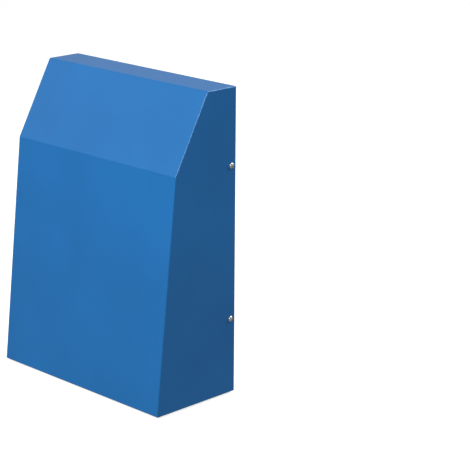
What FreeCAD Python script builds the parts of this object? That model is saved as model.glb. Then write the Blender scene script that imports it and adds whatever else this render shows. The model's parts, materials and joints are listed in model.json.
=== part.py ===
"""Wall-mounted exhaust fan: folded steel casing, duct spigot and motorised impeller.

Millimetres. The origin is the middle of the duct spigot in the wall plane y = 0.
+Z is up, +Y points into the wall along the duct, and the casing's front faces -Y.
The fan draws air in through the spigot and blows it down through the grille.
"""
import FreeCAD, Part
import math
import os

Vector = FreeCAD.Vector
X_AXIS = Vector(1, 0, 0)
Y_AXIS = Vector(0, 1, 0)
Z_AXIS = Vector(0, 0, 1)
CENTRE = Vector(0, 0, 0)

# Casing: overall size, and the depth of its front at three heights.
CASE_WIDTH = 325.0
CASE_HEIGHT = 436.0
DEPTH_BOTTOM = 147.6
DEPTH_KNEE = 112.0
DEPTH_TOP = 53.0
KNEE_HEIGHT = 329.5
SHEET = 1.2
EDGE_ROUND = 1.1
BEND = 1.2
WELD_TAB = 12.0
TAB_SETBACK = 16.0

# Grille: square holes in the bottom face, set a little left of the middle with their screw.
HOLE_SIDE = 10.0
HOLE_PITCH = 13.0
HOLE_COLUMNS = 23
HOLE_ROWS = 8
FIRST_ROW = 21.0
HOLE_SHIFT = -1.9
LOWER_RETURN = 8.0

# Rear frame: a flat border in the wall plane with a rim folded forward all round.
FRAME_SHEET = 2.0
FRAME_GAP = 0.3
BORDER_SIDE = 19.0
BORDER_BOTTOM = 36.0
BORDER_TOP = 28.0
FRAME_RIM = 17.0
OPENING_ROUND = 3.0
PLATE_SHEET = 1.5
PLATE_OVERLAP = 11.0

# Keyhole slots for the wall screws.
KEYHOLE_X = 131.0
KEYHOLE_Z = 175.5
KEYHOLE_RADIUS = 6.2
KEYSLOT_RADIUS = 3.2
KEYSLOT_RISE = 9.5

# Duct spigot, for a 160 mm duct.
SPIGOT_RADIUS = 79.5
SPIGOT_LENGTH = 52.0
SPIGOT_SHEET = 1.2
SPIGOT_FLANGE = 96.0
SPIGOT_FLARE = 3.0
COLLAR_START = 7.5
LEAD_IN_RADIUS = 79.0
GROOVE_RADIUS = 77.3
GROOVE_START = 30.5
GROOVE_END = 42.5
GROOVE_SLOPE = 2.0
RIM_LIP = 2.0
RIM_BEND = 0.5
GASKET_RADIUS = 86.3
GASKET_SHORT_LIP = 83.4

# Inlet nozzle and impeller.
EYE_RADIUS = 66.0
NOZZLE_FLANGE = 96.0
NOZZLE_CURVE = 14.0
NOZZLE_TIP = -26.0
STUD_CIRCLE = 89.0
STUD_COUNT = 6
IMPELLER_RADIUS = 110.0
SHROUD_GAP = 1.8
SHROUD_LIP = -22.0
SHROUD_SHEET = 1.5
SHROUD_SHOULDER = -33.0
SHROUD_EDGE = -46.0
SHROUD_BEND = 11.0
BACKPLATE_FACE = -88.0
BACKPLATE_SHEET = 1.5
BLADE_COUNT = 7
BLADE_SHEET = 1.5
BLADE_INNER = 62.0
BLADE_ANGLE = 32.0

# External rotor motor, hung from a bridge in front of the impeller.
MOTOR_FACE = -96.0
BRIDGE_SHEET = 2.0
BRIDGE_HALF_WIDTH = 32.0
BRIDGE_FOOT = 149.0
BRIDGE_KNEE = 127.0
BRIDGE_SHOULDER = 120.0
BRIDGE_BEND = 4.0
BRIDGE_RIB_DEPTH = 7.0
BRIDGE_HOLE_X = 75.0
BRIDGE_HOLE_RADIUS = 16.0
RIVET_X = 138.5
RIVET_Z = 22.0
RIVET_RADIUS = 2.4
RIVET_HEAD = 4.6
RIVET_CROWN = 1.5
CAN_RADIUS = 46.0
CAN_NOSE = -49.0
CAN_WALL = 2.5
CAN_FLANGE = 57.0
HUB_RIVET_CIRCLE = 51.5
HUB_RIVET_COUNT = 6
SHAFT_RADIUS = 5.0
STATOR_RADIUS = 34.0
STATOR_BORE = 17.0
STATOR_START = -58.0
STATOR_END = -82.0
TOOTH_COUNT = 12
AIR_GAP = 0.6
BEARING_RADIUS = 13.0
BEARING_WIDTH = 8.0
BEARING_STARTS = (-63.0, -81.0)
BALL_RADIUS = 2.0
BALL_CIRCLE = 9.0
BALL_COUNT = 7
MOTOR_SCREW_CIRCLE = 28.5
CABLE_EXIT_Z = -21.0

# Screws and nuts.
SCREW_RADIUS = 2.0
SCREW_HOLE = 2.25
SCREW_HEAD_RADIUS = 4.0
SCREW_HEAD_HEIGHT = 2.4
SCREW_INSET = 8.0
SIDE_SCREW_Z = 109.5

# Electrical parts on the inside of the rear plate.
BOX_LEFT = 60.0
BOX_RIGHT = 118.0
BOX_LOW = -184.0
BOX_HIGH = -126.0
BOX_DEPTH = 30.0
BOX_WALL = 2.0
LID_THICK = 3.0
LID_SCREW_INSET = 6.0
GROMMET_HOLE = 8.0
GROMMET_X = 95.0
GROMMET_Z = -153.0
LEAD_RADIUS = 2.75
LEAD_GLAND_Y = -24.0
LEAD_GLAND_Z = -140.0
CAPACITOR_RADIUS = 15.0
CAPACITOR_LEFT = -18.0
CAPACITOR_RIGHT = 42.0
CAPACITOR_Z = -171.0
CLIP_X = 8.0
CLIP_WIDTH = 12.0
CLIP_SHEET = 1.0
CLIP_STUD_RISE = 20.0
EARTH_X = 26.0
EARTH_Z = -128.0
EARTH_TAG_SHEET = 0.8
EARTH_LEAD_RADIUS = 1.3

# Planes and lines worked out from the sizes above.
BOTTOM = -CASE_HEIGHT / 2
TOP = CASE_HEIGHT / 2
HALF_WIDTH = CASE_WIDTH / 2
KNEE = BOTTOM + KNEE_HEIGHT
PLATE_BACK = -FRAME_SHEET
PLATE_FRONT = PLATE_BACK - PLATE_SHEET
BRIDGE_FRONT = MOTOR_FACE - BRIDGE_SHEET
CAPACITOR_Y = PLATE_FRONT - CLIP_SHEET - CAPACITOR_RADIUS
BOX_FRONT = PLATE_FRONT - BOX_DEPTH


# ---------------------------------------------------------------- outlines

def side_plane(y, z):
    """A point of a side outline, in the plane x = 0."""
    return Vector(0, y, z)


def turning_plane(radius, y):
    """A point of a turned part's half section."""
    return Vector(radius, y, 0)


def plan_plane(x, y):
    """A point of an outline seen from above."""
    return Vector(x, y, 0)


def heading(start, end):
    """Unit direction from one flat point to another."""
    du = end[0] - start[0]
    dv = end[1] - start[1]
    length = math.hypot(du, dv)
    return (du / length, dv / length)


def offset_points(points, distance):
    """The points of an open outline, moved to the left of its direction."""
    moved = []
    last = len(points) - 1
    for index, point in enumerate(points):
        before = heading(points[max(index, 1) - 1], points[max(index, 1)])
        after = heading(points[min(index, last - 1)], points[min(index, last - 1) + 1])
        left_before = (-before[1], before[0])
        left_after = (-after[1], after[0])
        dot = left_before[0] * left_after[0] + left_before[1] * left_after[1]
        scale = distance / (1 + dot)
        u = point[0] + scale * (left_before[0] + left_after[0])
        v = point[1] + scale * (left_before[1] + left_after[1])
        moved.append((u, v))
    return moved


def rounded_corner(before, corner, after, radius):
    """Start, middle and end of the arc that rounds a corner."""
    into = heading(before, corner)
    out = heading(corner, after)
    turn = math.acos(max(-1.0, min(1.0, into[0] * out[0] + into[1] * out[1])))
    reach = radius * math.tan(turn / 2)
    depth = radius / math.cos(turn / 2) - radius
    spread = math.hypot(out[0] - into[0], out[1] - into[1])
    start = (corner[0] - into[0] * reach, corner[1] - into[1] * reach)
    middle = (
        corner[0] + (out[0] - into[0]) / spread * depth,
        corner[1] + (out[1] - into[1]) / spread * depth,
    )
    end = (corner[0] + out[0] * reach, corner[1] + out[1] * reach)
    return start, middle, end


def rounded_edges(points, radii, plane):
    """Straight runs joined by tangent arcs. A radius of 0 keeps a corner sharp."""
    edges = []
    start = points[0]
    for index in range(1, len(points) - 1):
        end = points[index]
        if radii[index] > 0:
            first, middle, last = rounded_corner(
                points[index - 1], points[index], points[index + 1], radii[index]
            )
            edges.append(Part.LineSegment(plane(*start), plane(*first)).toShape())
            edges.append(Part.Arc(plane(*first), plane(*middle), plane(*last)).toShape())
            end = last
        else:
            edges.append(Part.LineSegment(plane(*start), plane(*end)).toShape())
        start = end
    edges.append(Part.LineSegment(plane(*start), plane(*points[-1])).toShape())
    return edges


def closed_face(points, plane, radii=None):
    """A flat face inside a closed outline, with its corners rounded if asked."""
    radii = radii or [0] * len(points)
    middle = (
        (points[-1][0] + points[0][0]) / 2,
        (points[-1][1] + points[0][1]) / 2,
    )
    loop = [middle] + list(points) + [middle]
    return Part.Face(Part.Wire(rounded_edges(loop, [0] + list(radii) + [0], plane)))


def sheet_face(points, thickness, bends, plane):
    """Section of a folded sheet. Positive thickness lies left of the points' direction.

    bends are the radii inside each fold, one for each point.
    """
    other = offset_points(points, thickness)
    near_radii = [0.0]
    far_radii = [0.0]
    for index in range(1, len(points) - 1):
        into = heading(points[index - 1], points[index])
        out = heading(points[index], points[index + 1])
        turns_left = into[0] * out[1] - into[1] * out[0] > 0
        inside = bends[index]
        outside = bends[index] + abs(thickness)
        far_is_inside = turns_left == (thickness > 0)
        near_radii.append(outside if far_is_inside else inside)
        far_radii.append(inside if far_is_inside else outside)
    near_radii.append(0.0)
    far_radii.append(0.0)
    edges = rounded_edges(points, near_radii, plane)
    edges.append(Part.LineSegment(plane(*points[-1]), plane(*other[-1])).toShape())
    edges.extend(rounded_edges(other[::-1], far_radii[::-1], plane))
    edges.append(Part.LineSegment(plane(*other[0]), plane(*points[0])).toShape())
    return Part.Face(Part.Wire(Part.__sortEdges__(edges)))


# ------------------------------------------------------------------ solids

def block(x0, x1, y0, y1, z0, z1):
    """A box between two corners."""
    return Part.makeBox(x1 - x0, y1 - y0, z1 - z0, Vector(x0, y0, z0))


def rod(radius, start, end):
    """A round rod between two points."""
    start = Vector(*start)
    along = Vector(*end) - start
    return Part.makeCylinder(radius, along.Length, start, along)


def ring(inner, outer, y0, y1):
    """A plain ring about the fan's axis."""
    low = min(y0, y1)
    length = abs(y1 - y0)
    hole = Part.makeCylinder(inner, length, Vector(0, low, 0), Y_AXIS)
    return Part.makeCylinder(outer, length, Vector(0, low, 0), Y_AXIS).cut(hole)


def turned(face):
    """A half section turned about the fan's axis."""
    return face.revolve(CENTRE, Y_AXIS, 360)


def turned_outline(points, radii=None):
    """A solid turned from (radius, y) points."""
    return turned(closed_face(points, turning_plane, radii))


def spread(shape, count, first=0.0):
    """Copies of a shape spaced evenly about the fan's axis."""
    copies = []
    for index in range(count):
        copy = shape.copy()
        copy.rotate(CENTRE, Y_AXIS, first + index * 360.0 / count)
        copies.append(copy)
    return copies


def aimed(shape, place, direction):
    """A shape made upright at the origin, moved to a place and tipped along a direction."""
    moved = shape.copy()
    turn = FreeCAD.Rotation(Z_AXIS, Vector(*direction))
    moved.Placement = FreeCAD.Placement(Vector(*place), turn)
    return moved


def mirrored(shape):
    """The same shape on the other side of the fan."""
    return shape.mirror(CENTRE, X_AXIS)


def pan_screw(length, radius=SCREW_RADIUS, head=SCREW_HEAD_RADIUS, height=SCREW_HEAD_HEIGHT):
    """Pan-head screw with a cross recess, head upwards and seated at z = 0."""
    shoulder = 0.35 * height
    chamfer = 0.5
    outline = [
        Part.LineSegment(Vector(0, 0, -length), Vector(radius - chamfer, 0, -length)),
        Part.LineSegment(Vector(radius - chamfer, 0, -length), Vector(radius, 0, chamfer - length)),
        Part.LineSegment(Vector(radius, 0, chamfer - length), Vector(radius, 0, 0)),
        Part.LineSegment(Vector(radius, 0, 0), Vector(head, 0, 0)),
        Part.LineSegment(Vector(head, 0, 0), Vector(head, 0, shoulder)),
        Part.Arc(Vector(head, 0, shoulder), Vector(0.75 * head, 0, 0.86 * height), Vector(0, 0, height)),
        Part.LineSegment(Vector(0, 0, height), Vector(0, 0, -length)),
    ]
    edges = [line.toShape() for line in outline]
    screw = Part.Face(Part.Wire(edges)).revolve(CENTRE, Z_AXIS, 360)
    arm = 0.55 * head
    slot = 0.15 * head
    floor = 0.35 * height
    recess = block(-arm, arm, -slot, slot, floor, 2 * height)
    recess = recess.fuse(block(-slot, slot, -arm, arm, floor, 2 * height))
    return screw.cut(recess)


def hex_nut(across, height, bore):
    """Hexagon nut with its seat at z = 0."""
    corner = across / math.sqrt(3)
    points = []
    for index in range(7):
        angle = math.radians(60 * index)
        points.append(Vector(corner * math.cos(angle), corner * math.sin(angle), 0))
    body = Part.Face(Part.makePolygon(points)).extrude(Vector(0, 0, height))
    bevel = Part.makeCone(corner + height * 0.6, corner - 0.5, height)
    return body.common(bevel).cut(Part.makeCylinder(bore, height))


def rivet(radius, head, crown, grip):
    """Domed rivet, its head above z = 0 and a flat closing head below the grip."""
    ball = (head ** 2 + crown ** 2) / (2 * crown)
    dome = Part.makeSphere(ball, Vector(0, 0, crown - ball)).common(Part.makeCylinder(head, crown))
    shank = Part.makeCylinder(radius, grip, Vector(0, 0, -grip))
    closing = Part.makeCylinder(0.8 * head, 1.0, Vector(0, 0, -grip - 1.0))
    return dome.fuse([shank, closing])


def wire_tube(points, radius):
    """A lead along straight runs joined by tangent arcs, as large as the runs allow."""
    corners = [Vector(*point) for point in points]
    edges = []
    start = corners[0]
    for index in range(1, len(corners) - 1):
        corner = corners[index]
        into = (corner - corners[index - 1]).normalize()
        out = (corners[index + 1] - corner).normalize()
        shorter = min((corner - corners[index - 1]).Length, (corners[index + 1] - corner).Length)
        turn = into.getAngle(out)
        reach = 0.45 * shorter
        bend = reach / math.tan(turn / 2)
        inward = (out - into).normalize()
        first = corner - into * reach
        last = corner + out * reach
        middle = corner + inward * (bend / math.cos(turn / 2) - bend)
        edges.append(Part.LineSegment(start, first).toShape())
        edges.append(Part.Arc(first, middle, last).toShape())
        start = last
        print("lead bend radius", round(bend, 1))
    edges.append(Part.LineSegment(start, corners[-1]).toShape())
    path = Part.Wire(edges)
    section = Part.Wire(Part.makeCircle(radius, corners[0], corners[1] - corners[0]))
    tube = path.makePipeShell([section], True, False)
    print("lead volume against section times length", tube.Volume / (math.pi * radius ** 2 * path.Length))
    return tube


# ------------------------------------------------------------------ casing

def side_outline():
    """Side view of the casing from the back of the bottom round to the back of the top."""
    return [
        (0.0, BOTTOM),
        (-DEPTH_BOTTOM, BOTTOM),
        (-DEPTH_KNEE, KNEE),
        (-DEPTH_TOP, TOP),
        (0.0, TOP),
    ]


def rounded_long_edges(shape):
    """Take the sharpness off a folded strip's two outer side edges."""
    picked = []
    for edge in shape.Edges:
        box = edge.BoundBox
        on_side = abs(abs(box.XMin) - HALF_WIDTH) < 0.01 and box.XLength < 0.01
        if on_side and is_outer_edge(edge):
            picked.append(edge)
    return shape.makeFillet(EDGE_ROUND, picked)


def is_outer_edge(edge):
    """True for an edge on the outer skin, which every end cut and inner edge is not."""
    middle = edge.valueAt((edge.FirstParameter + edge.LastParameter) / 2)
    outline = side_outline()
    for start, end in zip(outline, outline[1:]):
        along = heading(start, end)
        away = (middle.y - start[0]) * -along[1] + (middle.z - start[1]) * along[0]
        run = (middle.y - start[0]) * along[0] + (middle.z - start[1]) * along[1]
        length = math.hypot(end[0] - start[0], end[1] - start[1])
        if abs(away) < 0.7 * SHEET and -0.1 < run < length + 0.1:
            return edge.Length > 1.5 * SHEET or edge.Curve.TypeId == "Part::GeomCircle"
    return False


def front_sheet():
    """Front, sloped hood and top, folded from one sheet with a return under the front."""
    points = side_outline()
    points[0] = (LOWER_RETURN - DEPTH_BOTTOM, BOTTOM)
    section = sheet_face(points, -SHEET, [BEND] * len(points), side_plane)
    section.translate(Vector(-HALF_WIDTH, 0, 0))
    return rounded_long_edges(section.extrude(Vector(CASE_WIDTH, 0, 0)))


def square_wire(x, y, side, z):
    """A square outline in a level plane."""
    half = side / 2
    corners = [(x - half, y - half), (x + half, y - half), (x + half, y + half), (x - half, y + half)]
    corners.append(corners[0])
    return Part.makePolygon([Vector(u, v, z) for u, v in corners])


def grille_panel():
    """Bottom face with its rows of square holes."""
    front = LOWER_RETURN - DEPTH_BOTTOM
    corners = [(-HALF_WIDTH, front), (HALF_WIDTH, front), (HALF_WIDTH, 0), (-HALF_WIDTH, 0)]
    corners.append(corners[0])
    wires = [Part.makePolygon([Vector(x, y, BOTTOM) for x, y in corners])]
    for row in range(HOLE_ROWS):
        y = -FIRST_ROW - HOLE_SIDE / 2 - row * HOLE_PITCH
        for column in range(HOLE_COLUMNS):
            x = HOLE_SHIFT + (column - (HOLE_COLUMNS - 1) / 2) * HOLE_PITCH
            wires.append(square_wire(x, y, HOLE_SIDE, BOTTOM))
    panel = Part.makeFace(Part.makeCompound(wires), "Part::FaceMakerBullseye")
    panel = panel.extrude(Vector(0, 0, SHEET))
    picked = []
    for edge in panel.Edges:
        box = edge.BoundBox
        if box.XLength < 0.01 and abs(abs(box.XMin) - HALF_WIDTH) < 0.01 and box.ZMax < BOTTOM + 0.01:
            picked.append(edge)
    panel = panel.makeFillet(EDGE_ROUND, picked)
    seat = casing_screw_places()[0][0]
    return panel.cut(rod(SCREW_HOLE, (seat[0], seat[1], BOTTOM - 1), (seat[0], seat[1], BOTTOM + 3)))


def weld_tab(start, end):
    """A flap turned in from a side panel's edge, for spot welding to the wrapped sheet."""
    along = heading(start, end)
    inward = (along[1], -along[0])
    first = (start[0] + along[0] * TAB_SETBACK, start[1] + along[1] * TAB_SETBACK)
    last = (end[0] - along[0] * TAB_SETBACK, end[1] - along[1] * TAB_SETBACK)
    points = [
        first,
        last,
        (last[0] + inward[0] * SHEET, last[1] + inward[1] * SHEET),
        (first[0] + inward[0] * SHEET, first[1] + inward[1] * SHEET),
    ]
    tab = closed_face(points, side_plane)
    tab.translate(Vector(HALF_WIDTH - SHEET - WELD_TAB, 0, 0))
    return tab.extrude(Vector(WELD_TAB + SHEET / 2, 0, 0))


def side_panel():
    """Right-hand cheek of the casing, inside the wrapped sheet, with its weld tabs."""
    inner = offset_points(side_outline(), -SHEET)
    panel = closed_face(inner, side_plane, [0, BEND, BEND, BEND, 0])
    panel.translate(Vector(HALF_WIDTH - SHEET, 0, 0))
    panel = panel.extrude(Vector(SHEET, 0, 0))
    for start, end in zip(inner[1:-2], inner[2:-1]):
        panel = panel.fuse(weld_tab(start, end))
    for z in (-SIDE_SCREW_Z, SIDE_SCREW_Z):
        hole = rod(SCREW_HOLE, (HALF_WIDTH - 5, -SCREW_INSET, z), (HALF_WIDTH + 5, -SCREW_INSET, z))
        panel = panel.cut(hole)
    return panel.removeSplitter()


# -------------------------------------------------------------------- rear

def level_outline(x0, x1, z0, z1, y, radius):
    """A rectangle with rounded corners, in a plane facing the wall."""
    points = [(x0, z0), (x1, z0), (x1, z1), (x0, z1)]
    return closed_face(points, lambda x, z: Vector(x, y, z), [radius] * 4)


def rear_frame():
    """Flat border against the wall, with a rim folded forward inside the casing."""
    right = HALF_WIDTH - SHEET - FRAME_GAP
    low = BOTTOM + SHEET + FRAME_GAP
    high = TOP - SHEET - FRAME_GAP
    outer = level_outline(-right, right, low, high, -FRAME_RIM, 1.5)
    frame = outer.extrude(Vector(0, FRAME_RIM, 0))
    back_edges = []
    for edge in frame.Edges:
        if edge.BoundBox.YMin > -0.01:
            back_edges.append(edge)
    frame = frame.makeFillet(1.4, back_edges)
    pocket = level_outline(
        FRAME_SHEET - right, right - FRAME_SHEET, low + FRAME_SHEET, high - FRAME_SHEET, -FRAME_RIM, 0.5
    )
    frame = frame.cut(pocket.extrude(Vector(0, FRAME_RIM - FRAME_SHEET, 0)))
    window_x = HALF_WIDTH - BORDER_SIDE
    window = level_outline(
        -window_x, window_x, BOTTOM + BORDER_BOTTOM, TOP - BORDER_TOP, -FRAME_RIM, OPENING_ROUND
    )
    frame = frame.cut(window.extrude(Vector(0, 2 * FRAME_RIM, 0)))
    for place, direction in casing_screw_places():
        hole = aimed(Part.makeCylinder(SCREW_HOLE, 12, Vector(0, 0, -8)), place, direction)
        frame = frame.cut(hole)
    return frame


def keyhole(x, z):
    """Cutter for one keyhole: a round entry with a narrower slot above it."""
    front = PLATE_FRONT - 5
    back = PLATE_BACK + 5
    entry = rod(KEYHOLE_RADIUS, (x, front, z), (x, back, z))
    slot = block(x - KEYSLOT_RADIUS, x + KEYSLOT_RADIUS, front, back, z, z + KEYSLOT_RISE)
    end = rod(KEYSLOT_RADIUS, (x, front, z + KEYSLOT_RISE), (x, back, z + KEYSLOT_RISE))
    return entry.fuse([slot, end])


def rear_plate():
    """Recessed plate behind the frame's window, with the duct opening and keyholes."""
    reach = HALF_WIDTH - BORDER_SIDE + PLATE_OVERLAP
    low = BOTTOM + BORDER_BOTTOM - PLATE_OVERLAP
    high = TOP - BORDER_TOP + PLATE_OVERLAP
    plate = level_outline(-reach, reach, low, high, PLATE_FRONT, 4).extrude(Vector(0, PLATE_SHEET, 0))
    bore = SPIGOT_RADIUS - SPIGOT_SHEET
    cutters = [rod(bore, (0, -20, 0), (0, 20, 0))]
    for x in (-KEYHOLE_X, KEYHOLE_X):
        for z in (-KEYHOLE_Z, KEYHOLE_Z):
            cutters.append(keyhole(x, z))
    for x, z in bridge_rivet_places():
        cutters.append(rod(RIVET_RADIUS, (x, -20, z), (x, 20, z)))
    cutters.append(rod(GROMMET_HOLE, (GROMMET_X, -20, GROMMET_Z), (GROMMET_X, 20, GROMMET_Z)))
    return plate.cut(cutters)


def spigot_flange():
    """Flat ring spot-welded to the rear plate, flared up to meet the duct collar."""
    back = PLATE_BACK + SPIGOT_SHEET
    points = [(SPIGOT_FLANGE, back), (SPIGOT_RADIUS, back), (SPIGOT_RADIUS, COLLAR_START)]
    return turned(sheet_face(points, SPIGOT_SHEET, [0, SPIGOT_FLARE, 0], turning_plane))


def duct_spigot():
    """Rolled duct collar butt-welded on the flange: gasket groove, lead-in and curled rim."""
    points = [
        (SPIGOT_RADIUS, COLLAR_START),
        (SPIGOT_RADIUS, GROOVE_START - GROOVE_SLOPE),
        (GROOVE_RADIUS, GROOVE_START),
        (GROOVE_RADIUS, GROOVE_END),
        (LEAD_IN_RADIUS, GROOVE_END + GROOVE_SLOPE),
        (LEAD_IN_RADIUS, SPIGOT_LENGTH),
        (LEAD_IN_RADIUS - RIM_LIP, SPIGOT_LENGTH),
    ]
    bends = [0, 0.5, 0.5, 0.5, 0.5, RIM_BEND, 0]
    return turned(sheet_face(points, SPIGOT_SHEET, bends, turning_plane))


def duct_gasket():
    """Rubber ring in the spigot's groove: a long lip near the wall end and a short one beyond it."""
    low = GROOVE_START + 0.5
    high = GROOVE_END - 0.5
    points = [
        (GROOVE_RADIUS, low),
        (GROOVE_RADIUS + 2.9, low),
        (GASKET_RADIUS - 1.4, low + 0.8),
        (GASKET_RADIUS, low + 2.2),
        (GASKET_RADIUS, low + 4.2),
        (GASKET_RADIUS - 1.9, low + 5.8),
        (GROOVE_RADIUS + 4.1, low + 5.4),
        (GASKET_SHORT_LIP, high - 3.4),
        (GASKET_SHORT_LIP, high - 1.8),
        (GROOVE_RADIUS + 3.3, high),
        (GROOVE_RADIUS, high),
    ]
    return turned_outline(points, [0, 0.5, 0.8, 0.8, 0.8, 0.6, 0.5, 0.7, 0.7, 0.8, 0])


def supply_grommet():
    """Rubber grommet where a supply cable comes through from the wall."""
    points = [
        (2.5, -4.6),
        (2.5, -3.2),
        (5.0, -1.2),
        (5.5, -0.3),
        (10.5, -0.3),
        (10.5, PLATE_BACK),
        (GROMMET_HOLE, PLATE_BACK),
        (GROMMET_HOLE, PLATE_FRONT),
        (10.5, PLATE_FRONT),
        (10.5, PLATE_FRONT - BOX_WALL),
        (5.5, PLATE_FRONT - BOX_WALL),
        (4.4, -3.6),
    ]
    grommet = turned_outline(points)
    grommet.translate(Vector(GROMMET_X, 0, GROMMET_Z))
    return grommet


def inlet_nozzle():
    """Pressed bell mouth that leads the air from the spigot into the impeller's eye."""
    points = [(NOZZLE_FLANGE, PLATE_FRONT), (EYE_RADIUS, PLATE_FRONT), (EYE_RADIUS, NOZZLE_TIP)]
    nozzle = turned(sheet_face(points, SHEET, [0, NOZZLE_CURVE - SHEET, 0], turning_plane))
    return nozzle.cut(stud_holes())


def stud_holes():
    """Cutters for the parts that the weld studs hold."""
    return [rod(SCREW_RADIUS, (x, PLATE_FRONT - 8, z), (x, PLATE_FRONT, z)) for x, z, _ in stud_places()]


def stud_places():
    """Across, height and clamped thickness at every stud on the rear plate's inner face."""
    places = []
    for index in range(STUD_COUNT):
        across, height = polar(STUD_CIRCLE, 30 + index * 360.0 / STUD_COUNT)
        places.append((across, height, SHEET))
    for height in (CAPACITOR_Z - CLIP_STUD_RISE, CAPACITOR_Z + CLIP_STUD_RISE):
        places.append((CLIP_X, height, CLIP_SHEET))
    inset = LID_SCREW_INSET + BOX_WALL
    places.append((BOX_RIGHT - inset, BOX_HIGH - inset, BOX_WALL))
    places.append((BOX_LEFT + inset, BOX_LOW + inset, BOX_WALL))
    return places


def weld_studs():
    """Studs welded on the rear plate for the nozzle, the capacitor's clip and the terminal box."""
    studs = []
    for across, height, _ in stud_places():
        studs.append(rod(SCREW_RADIUS, (across, PLATE_FRONT - 8, height), (across, PLATE_FRONT, height)))
    return studs


def stud_nuts():
    """Flanged nuts on the weld studs."""
    seat = Part.makeCylinder(4.6, 1.0).cut(Part.makeCylinder(SCREW_RADIUS, 1.0))
    hexagon = hex_nut(7.0, 3.2, SCREW_RADIUS)
    hexagon.translate(Vector(0, 0, 1.0))
    nut = seat.fuse(hexagon)
    placed = []
    for across, height, grip in stud_places():
        placed.append(aimed(nut, (across, PLATE_FRONT - grip, height), (0, -1, 0)))
    return placed


# --------------------------------------------------------------- fasteners

def casing_screw_places():
    """Seat and outward direction of each screw that holds the casing to the rear frame."""
    places = [((HOLE_SHIFT, -SCREW_INSET, BOTTOM), (0, 0, -1))]
    for side in (-1, 1):
        for z in (-SIDE_SCREW_Z, SIDE_SCREW_Z):
            places.append(((side * HALF_WIDTH, -SCREW_INSET, z), (side, 0, 0)))
    return places


def casing_screws():
    """Zinc-plated pan-head screws round the casing's rear edge."""
    screw = pan_screw(10.0)
    return [aimed(screw, place, direction) for place, direction in casing_screw_places()]


def casing_nuts():
    """Clinch nuts pressed into the frame's rim behind each casing screw."""
    depth = SHEET + FRAME_GAP + FRAME_SHEET
    nut = Part.makeCylinder(4.2, 3.2, Vector(0, 0, -depth - 3.2))
    nut = nut.cut(Part.makeCylinder(SCREW_RADIUS, 20, Vector(0, 0, -15)))
    return [aimed(nut, place, direction) for place, direction in casing_screw_places()]


def bridge_rivet_places():
    """Centres of the rivets through the bridge's feet."""
    places = []
    for x in (-RIVET_X, RIVET_X):
        for z in (-RIVET_Z, RIVET_Z):
            places.append((x, z))
    return places


def bridge_rivets():
    """Domed rivets, their heads in the rear plate's recess."""
    shape = rivet(RIVET_RADIUS, RIVET_HEAD, RIVET_CROWN, PLATE_SHEET + BRIDGE_SHEET)
    return [aimed(shape, (x, PLATE_BACK, z), (0, 1, 0)) for x, z in bridge_rivet_places()]


# ------------------------------------------------------------------- motor

def motor_bridge():
    """Hat-shaped steel strap that carries the motor in front of the impeller."""
    points = [
        (-BRIDGE_FOOT, PLATE_FRONT),
        (-BRIDGE_KNEE, PLATE_FRONT),
        (-BRIDGE_SHOULDER, MOTOR_FACE),
        (BRIDGE_SHOULDER, MOTOR_FACE),
        (BRIDGE_KNEE, PLATE_FRONT),
        (BRIDGE_FOOT, PLATE_FRONT),
    ]
    strap = sheet_face(points, -BRIDGE_SHEET, [BRIDGE_BEND] * len(points), plan_plane)
    strap.translate(Vector(0, 0, -BRIDGE_HALF_WIDTH))
    bridge = strap.extrude(Vector(0, 0, 2 * BRIDGE_HALF_WIDTH))
    rib_end = BRIDGE_SHOULDER - 20
    for z in (-BRIDGE_HALF_WIDTH, BRIDGE_HALF_WIDTH - BRIDGE_SHEET):
        tip = BRIDGE_FRONT - BRIDGE_RIB_DEPTH
        rib = block(-rib_end, rib_end, tip, BRIDGE_FRONT + 0.5, z, z + BRIDGE_SHEET)
        bridge = bridge.fuse(rib)
    cutters = [rod(14.0, (0, -130, 0), (0, -80, 0))]
    cutters.append(rod(6.0, (0, -130, CABLE_EXIT_Z), (0, -80, CABLE_EXIT_Z)))
    hole = rod(SCREW_HOLE, (MOTOR_SCREW_CIRCLE, -130, 0), (MOTOR_SCREW_CIRCLE, -80, 0))
    cutters.extend(spread(hole, 4, 45))
    for x, z in bridge_rivet_places():
        cutters.append(rod(RIVET_RADIUS, (x, -20, z), (x, 0, z)))
    for x in (-BRIDGE_HOLE_X, BRIDGE_HOLE_X):
        cutters.append(rod(BRIDGE_HOLE_RADIUS, (x, -130, 0), (x, -80, 0)))
    return bridge.cut(cutters).removeSplitter()


def motor_flange():
    """Die-cast flange and bearing tube that the stator sits on."""
    points = [
        (BEARING_RADIUS, -62),
        (STATOR_BORE - 1, -62),
        (STATOR_BORE, -63),
        (STATOR_BORE, -84),
        (19.5, -91),
        (42, -91),
        (42, MOTOR_FACE),
        (BEARING_RADIUS, MOTOR_FACE),
        (BEARING_RADIUS, -81),
        (11.5, -81),
        (11.5, -71),
        (BEARING_RADIUS, -71),
    ]
    flange = turned_outline(points)
    hole = rod(SCREW_RADIUS, (MOTOR_SCREW_CIRCLE, -130, 0), (MOTOR_SCREW_CIRCLE, -80, 0))
    return flange.cut(spread(hole, 4, 45))


def motor_screws():
    """Screws through the bridge into the motor's flange."""
    screw = aimed(pan_screw(6.5), (MOTOR_SCREW_CIRCLE, BRIDGE_FRONT, 0), (0, -1, 0))
    return spread(screw, 4, 45)


def stator_core():
    """Laminated stator with twelve teeth."""
    core = ring(STATOR_BORE, 21.5, STATOR_START, STATOR_END)
    tooth = block(20.5, 31.5, STATOR_END, STATOR_START, -2.75, 2.75)
    rim = ring(31.0, STATOR_RADIUS, STATOR_START, STATOR_END)
    gap = block(30, 36, STATOR_END, STATOR_START, -1.1, 1.1)
    rim = rim.cut(spread(gap, TOOTH_COUNT, 180 / TOOTH_COUNT))
    return core.fuse(spread(tooth, TOOTH_COUNT) + [rim]).removeSplitter()


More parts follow.
